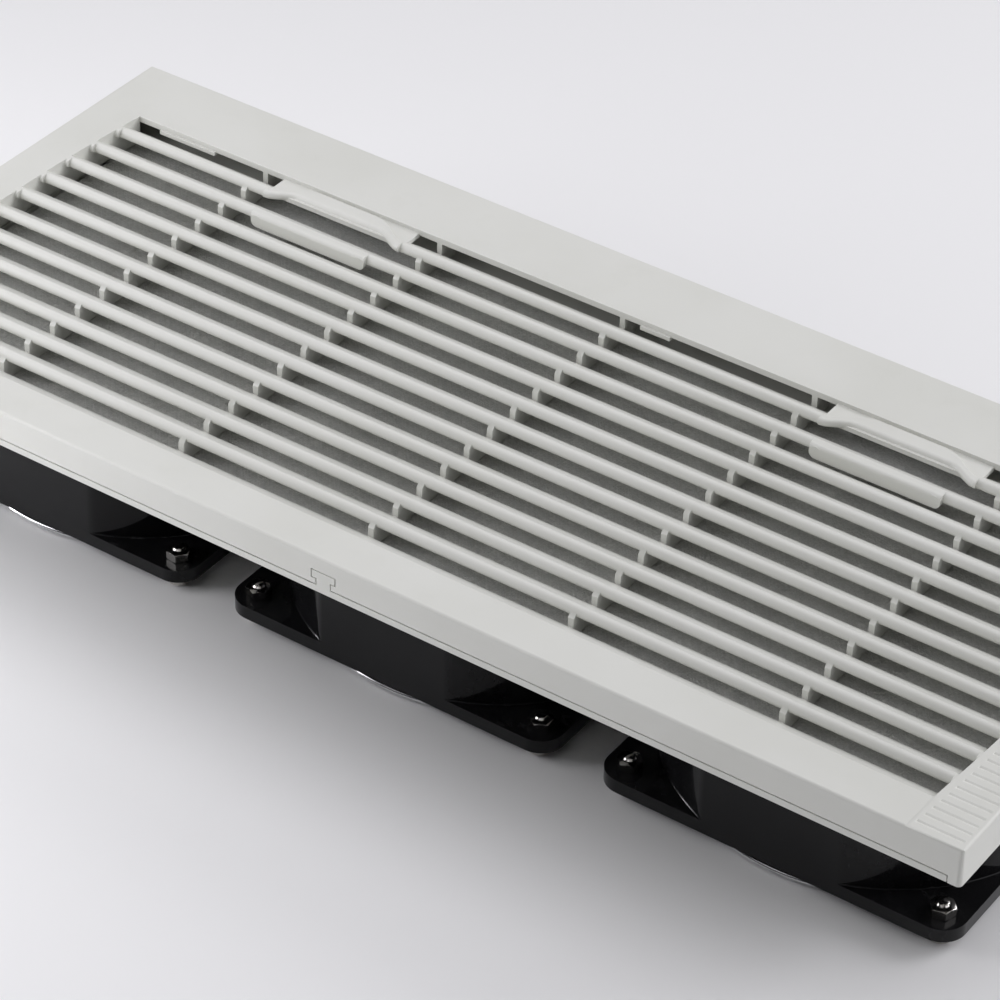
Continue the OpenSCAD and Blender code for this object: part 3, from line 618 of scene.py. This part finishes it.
def nose_knives(section, blocks):
    """Bars of one section along the louvres' noses, clear of the blocks and of the grips and pads."""
    corners = [v.co for v in frame["nodes"]["louvre_cover"].data.vertices]
    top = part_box("louvre_cover")[1].z - PLATE_RISE
    bm = bmesh.new()
    for i in range(LOUVRES):
        back = FIRST_BACK - i * LOUVRE_PITCH
        edge = [c.x for c in corners if abs(c.y - back) < NEAR and abs(c.z - top) < NEAR]
        held = [(x, HELD_LENGTHS[i]) for x in GRIP_PLACES] if i < len(HELD_LENGTHS) else []
        for start, end in clear_spans(min(edge) + NOSE_END, max(edge) - NOSE_END, blocks + held):
            points = [(back - NOSE_WIDTH + depth, top + height) for depth, height in section]
            face = bm.faces.new([bm.verts.new((start, y, z)) for y, z in points])
            made = bmesh.ops.extrude_face_region(bm, geom=[face])["geom"]
            moved = [item for item in made if isinstance(item, bmesh.types.BMVert)]
            bmesh.ops.translate(bm, verts=moved, vec=(end - start, 0, 0))
    put_in_order(bm)
    bmesh.ops.recalc_face_normals(bm, faces=bm.faces)
    return to_mesh(bm)


def add_cover():
    """The cover, its louvres' noses trimmed to a larger round that runs into the ribs in a slope."""
    upper = nose_arc(NOSE_TOP, NOSE_MEETS_RIB)
    lower = nose_arc(NOSE_MEETS_RIB, NOSE_FOOT)
    reach = KNIFE_REACH
    slope_end = (-reach, upper[-1][1] - upper[-1][0] - reach)
    along_all = [(-reach, reach), (upper[0][0], reach)] + upper + [slope_end]
    between_ribs = [(-reach, lower[0][1])] + lower + [(-reach, lower[-1][1])]
    ribs = [(x, RIB_WIDTH) for x in RIB_PLACES]
    knives = [nose_knives(along_all, []), nose_knives(between_ribs, ribs)]
    add_softened("cover_moulding", "louvre_cover", "cover", "cover_plastic", PLASTIC_EDGE, knives=knives)


def ring(bm, height, radius):
    """A level loop of edges. A radius that is a function of the angle gives radius and lift."""
    verts = bmesh.ops.create_circle(bm, segments=ROUND, radius=1.0)["verts"]
    for vert in verts:
        angle = math.atan2(vert.co.y, vert.co.x)
        reach, lift = radius(angle) if callable(radius) else (radius, 0.0)
        vert.co = Vector((reach * math.cos(angle), reach * math.sin(angle), height + lift))
    return list(dict.fromkeys(edge for vert in verts for edge in vert.link_edges))


def join_rings(bm, loops, closed=False):
    """Bridges each loop to the next, and the last to the first where it is closed."""
    pairs = list(zip(loops, loops[1:]))
    if closed:
        pairs.append((loops[-1], loops[0]))
    for first, second in pairs:
        bmesh.ops.bridge_loops(bm, edges=first + second)


def hexagon(angle):
    """Radius of a hexagon of unit inner radius."""
    return 1.0 / math.cos((angle % (math.pi / 3)) - math.pi / 6)


def nut_shape(height):
    """A hexagon nut with chamfered corners, standing on the origin."""
    bm = bmesh.new()
    flats = NUT_FLATS / 2
    face = flats * NUT_FACE

    def corner(sign):
        def outline(angle):
            reach = flats * hexagon(angle)
            return reach, sign * (reach - face) * math.tan(NUT_SLOPE)
        return outline

    bore = SCREW_RADIUS + NUT_PLAY
    mouth = bore + NUT_CHAMFER
    join_rings(bm, [
        ring(bm, NUT_CHAMFER, bore), ring(bm, 0, mouth), ring(bm, 0, face), ring(bm, 0, corner(1)),
        ring(bm, height, corner(-1)), ring(bm, height, face), ring(bm, height, mouth),
        ring(bm, height - NUT_CHAMFER, bore),
    ], closed=True)
    bmesh.ops.recalc_face_normals(bm, faces=bm.faces)
    return bm


def sink_cross(bm, crown):
    """Closes the crown of a head with a cross recess: five squares of a grid of nine, pushed in."""
    grid = bmesh.ops.create_grid(bm, x_segments=3, y_segments=3, size=1.5 * RECESS_WIDTH)["verts"]
    faces = list(dict.fromkeys(face for vert in grid for face in vert.link_faces))
    far = [face for face in faces if face.calc_center_median().length > 1.2 * RECESS_WIDTH]
    cross = [face for face in faces if face not in far]
    bmesh.ops.delete(bm, geom=far, context="FACES")
    sides = dict.fromkeys(edge for face in cross for edge in face.edges)
    outline = [edge for edge in sides if len(edge.link_faces) == 1]
    bmesh.ops.bridge_loops(bm, edges=outline + crown)
    pit = bmesh.ops.extrude_face_region(bm, geom=cross)["geom"]
    verts = [item for item in pit if isinstance(item, bmesh.types.BMVert)]
    bmesh.ops.scale(bm, verts=verts, vec=(RECESS_TAPER, RECESS_TAPER, 1))
    bmesh.ops.translate(bm, verts=verts, vec=(0, 0, RECESS_DEPTH))
    bmesh.ops.delete(bm, geom=[face for face in cross if face.is_valid], context="FACES_ONLY")


def screw_shape(length):
    """A pan-head machine screw, head down on the origin, with a cross recess, thread and domed end."""
    bm = bmesh.new()
    end = HEAD_HEIGHT + length
    root = SCREW_RADIUS - THREAD_DEPTH
    loops = [ring(bm, height, HEAD_RADIUS * share) for height, share in HEAD_ROUND]
    crown = loops[0]
    loops += [ring(bm, HEAD_HEIGHT, HEAD_RADIUS), ring(bm, HEAD_HEIGHT, SCREW_RADIUS)]
    turns = int(THREAD_LENGTH / THREAD_PITCH)
    start = end - turns * THREAD_PITCH - TIP_LENGTH
    for turn in range(turns):
        height = start + turn * THREAD_PITCH
        loops.append(ring(bm, height, SCREW_RADIUS))
        loops.append(ring(bm, height + THREAD_PITCH / 2, root))
    tip = ring(bm, end - TIP_LENGTH, SCREW_RADIUS - TIP_STEP)
    loops += [tip, ring(bm, end, SCREW_RADIUS * TIP_SHARE)]
    join_rings(bm, loops)
    bmesh.ops.contextual_create(bm, geom=loops[-1])
    sink_cross(bm, crown)
    put_in_order(bm)
    bmesh.ops.recalc_face_normals(bm, faces=bm.faces)
    return bm


def repeat_at_corners(shape, height, turn, upside_down):
    """One mesh with a copy of the shape at every corner of every fan. The shape is used up."""
    single = bpy.data.meshes.new("single")
    shape.to_mesh(single)
    shape.free()
    bm = bmesh.new()
    flip = Matrix.Rotation(math.pi, 4, "X") if upside_down else Matrix.Identity(4)
    for k in FANS:
        low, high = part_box(f"fan_{k}_shaft")
        centre = (low + high) / 2
        for sx in (-1, 1):
            for sy in (-1, 1):
                place = Vector((centre.x + sx * HOLE_PITCH / 2, centre.y + sy * HOLE_PITCH / 2, height))
                spin = Matrix.Rotation(turn * (3 * k + 2 * sx + sy), 4, "Z")
                matrix = Matrix.Translation(place) @ flip @ spin
                before = len(bm.verts)
                bm.from_mesh(single)
                bm.verts.ensure_lookup_table()
                bmesh.ops.transform(bm, matrix=matrix, verts=bm.verts[before:])
    return to_mesh(bm, FASTENER_CREASE)


def add_fasteners():
    """Nuts and screws at the corners of the fans, in place of the plain ones."""
    steel = FINISH["bright_steel"]
    for name, upside_down in (("guard_screws", False), ("fan_screws", True)):
        low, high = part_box(name)
        shape = screw_shape(high.z - low.z - HEAD_HEIGHT)
        height = high.z if upside_down else low.z
        mesh = repeat_at_corners(shape, height, SCREW_TURN, upside_down)
        add_piece(name + "_set", mesh, steel, "base", [name])
    for name in ("guard_nuts", "fan_nuts"):
        low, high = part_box(name)
        mesh = repeat_at_corners(nut_shape(high.z - low.z), low.z, NUT_TURN, False)
        add_piece(name + "_set", mesh, steel, "base", [name])


def fleece_height(place, low, high):
    """Height of the fleece's surface: lumps of two sizes, falling away along the edges."""
    inset = min(place.x - low.x, high.x - place.x, place.y - low.y, high.y - place.y)
    fall = max(0.0, 1 - inset / FLEECE_EDGE)
    lumps = sum(noise.noise(place * scale) * share for scale, share in FLEECE_LUMPS)
    hollow = FLEECE_LOFT * (0.5 - 0.5 * lumps)
    rounding = FLEECE_EDGE * FLEECE_FALL * (1 - math.sqrt(max(0.0, 1 - fall * fall)))
    return high.z - hollow - rounding


def add_fleece():
    """The filter mat: a lofted pad of fleece with soft edges and loose fibres on it."""
    low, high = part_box("filter_mat")
    size = high - low
    centre = (low + high) / 2
    bm = bmesh.new()
    steps = [max(2, round(side / FLEECE_STEP)) for side in (size.x, size.y)]
    bmesh.ops.create_grid(bm, x_segments=steps[0], y_segments=steps[1], size=0.5)
    bmesh.ops.scale(bm, verts=bm.verts, vec=(size.x, size.y, 1))
    made = bmesh.ops.extrude_face_region(bm, geom=bm.faces[:])["geom"]
    top = [item for item in made if isinstance(item, bmesh.types.BMVert)]
    bmesh.ops.translate(bm, verts=top, vec=(0, 0, size.z))
    bmesh.ops.translate(bm, verts=bm.verts, vec=(centre.x, centre.y, low.z))
    for vert in top:
        vert.co.z = fleece_height(vert.co, low, high)
    put_in_order(bm)
    bmesh.ops.recalc_face_normals(bm, faces=bm.faces)
    mesh = to_mesh(bm, FLEECE_CREASE)
    felt = FINISH["filter_fleece"]
    pad = add_piece("fleece_pad", mesh, felt, "base", ["filter_mat"])
    add_fibres(low, high)


def add_fibres(low, high):
    """Loose fibres that lie curled on the fleece."""
    draw = random.Random(FIBRE_SEED)
    curve = bpy.data.curves.new("fibres", "CURVE")
    curve.dimensions = "3D"
    curve.bevel_depth = FIBRE_RADIUS
    curve.bevel_resolution = 0
    for _ in range(FIBRES):
        spline = curve.splines.new("POLY")
        spline.points.add(FIBRE_POINTS - 1)
        length = draw.uniform(*FIBRE_LENGTH)
        heading = draw.uniform(0, 2 * math.pi)
        bend = draw.gauss(0, FIBRE_BEND)
        place = Vector((draw.uniform(low.x, high.x), draw.uniform(low.y, high.y), 0))
        for i, point in enumerate(spline.points):
            place.x = min(max(place.x, low.x), high.x)
            place.y = min(max(place.y, low.y), high.y)
            lift = FIBRE_LIFT * math.sin(math.pi * i / (FIBRE_POINTS - 1)) * draw.uniform(0.2, 1.0)
            point.co = (place.x, place.y, min(fleece_height(place, low, high) + lift, high.z), 1)
            heading += bend + draw.gauss(0, FIBRE_WANDER)
            place += Vector((math.cos(heading), math.sin(heading), 0)) * length / (FIBRE_POINTS - 1)
    source = bpy.data.objects.new("fibres", curve)
    mesh = bpy.data.meshes.new_from_object(source)
    bpy.data.objects.remove(source)
    add_piece("fleece_fibres", mesh, LOOSE_FIBRE, "base")


def add_gasket():
    """The foam gasket under the flange, with a crowned lower face."""
    bm = welded("panel_gasket")
    bmesh.ops.dissolve_limit(bm, angle_limit=FLAT, verts=bm.verts, edges=bm.edges)
    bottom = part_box("panel_gasket")[0].z
    edges = [e for e in bm.edges if all(v.co.z < bottom + WELD for v in e.verts)]
    edges = [e for e in edges if e.calc_face_angle() > SHARP]
    bmesh.ops.bevel(bm, geom=edges, offset=GASKET_ROUND, offset_type="OFFSET", segments=4,
                    profile=0.5, affect="EDGES", clamp_overlap=False, material=-1)
    foam = FINISH["foam_rubber"]
    gasket = add_piece("gasket_foam", to_mesh(bm), foam, "base", ["panel_gasket"])


def add_fans():
    """Housings, blades and terminals with rounded edges."""
    for k in FANS:
        add_softened(f"fan_{k}_casting", f"fan_{k}_housing", "base", "black_enamel", ENAMEL_EDGE, 3)
        add_softened(f"fan_{k}_blades", f"fan_{k}_impeller", f"fan_{k}_rotor", "black_plastic", VANE_EDGE)
        add_softened(f"fan_{k}_tabs", f"fan_{k}_terminals", "base", "bright_steel", TAB_EDGE)


# Stage

def add_camera():
    """The camera at the photograph's viewpoint."""
    data = bpy.data.cameras.new("camera")
    data.sensor_width = SENSOR
    data.lens = FOCAL_PIXELS / FRAME_PIXELS * SENSOR
    data.clip_end = FARTHEST
    camera = bpy.data.objects.new("camera", data)
    turn = Matrix.Rotation(VIEW_AZIMUTH, 4, "Z") @ Matrix.Rotation(math.pi / 2 - VIEW_ELEVATION, 4, "X")
    camera.matrix_world = Matrix.Translation(VIEW_PLACE) @ turn @ Matrix.Rotation(VIEW_ROLL, 4, "Z")
    bpy.context.scene.collection.objects.link(camera)
    bpy.context.scene.camera = camera


def aim_light(name, data, place, target):
    """Hangs a light at a place and turns it to a target."""
    data.color = LIGHT_COLOUR
    light = bpy.data.objects.new(name, data)
    aim = (Vector(target) - Vector(place)).to_track_quat("-Z", "Y")
    light.matrix_world = Matrix.Translation(place) @ aim.to_matrix().to_4x4()
    light.visible_camera = False
    bpy.context.scene.collection.objects.link(light)


def add_lamp(name, place, target, size, power):
    """A soft square lamp that points at a target."""
    data = bpy.data.lights.new(name, "AREA")
    data.shape = "SQUARE"
    data.size = size
    data.energy = power
    aim_light(name, data, place, target)


def add_sun(name, place, spread, strength):
    """A broad even light from one side, soft enough to blur every shadow."""
    data = bpy.data.lights.new(name, "SUN")
    data.angle = spread
    data.energy = strength
    aim_light(name, data, place, (0, 0, 0))


def add_studio():
    """A pale floor, a faint sky, the broad lights and the softboxes."""
    bm = bmesh.new()
    bmesh.ops.create_grid(bm, x_segments=1, y_segments=1, size=FLOOR_SIZE / 2)
    floor = bpy.data.objects.new("floor", to_mesh(bm))
    material, graph, shader = new_finish("floor", Roughness=0.6)
    cloud = graph.noise(1.5, 2.0)
    tint = tuple(c * FLOOR_CLOUD for c in FLOOR_COLOUR[:3]) + (1.0,)
    graph.feed(shader["Base Color"], graph.mix(cloud, tint, FLOOR_COLOUR))
    floor.data.materials.append(material)
    bpy.context.scene.collection.objects.link(floor)
    world = bpy.data.worlds.new("sky")
    world.use_nodes = True
    world.node_tree.nodes["Background"].inputs["Strength"].default_value = SKY_STRENGTH
    world.node_tree.nodes["Background"].inputs["Color"].default_value = (*LIGHT_COLOUR, 1)
    bpy.context.scene.world = world
    for name, values in SUNS.items():
        add_sun(name, *values)
    for name, values in SOFTBOXES.items():
        add_lamp(name, *values)


bpy.context.scene.view_settings.view_transform = "Standard"
add_camera()
add_studio()
dress_frame()
add_cover()
add_softened("frame_moulding", "base_frame", "base", "frame_plastic", PLASTIC_EDGE)
add_fleece()
add_gasket()
add_fans()
add_fasteners()
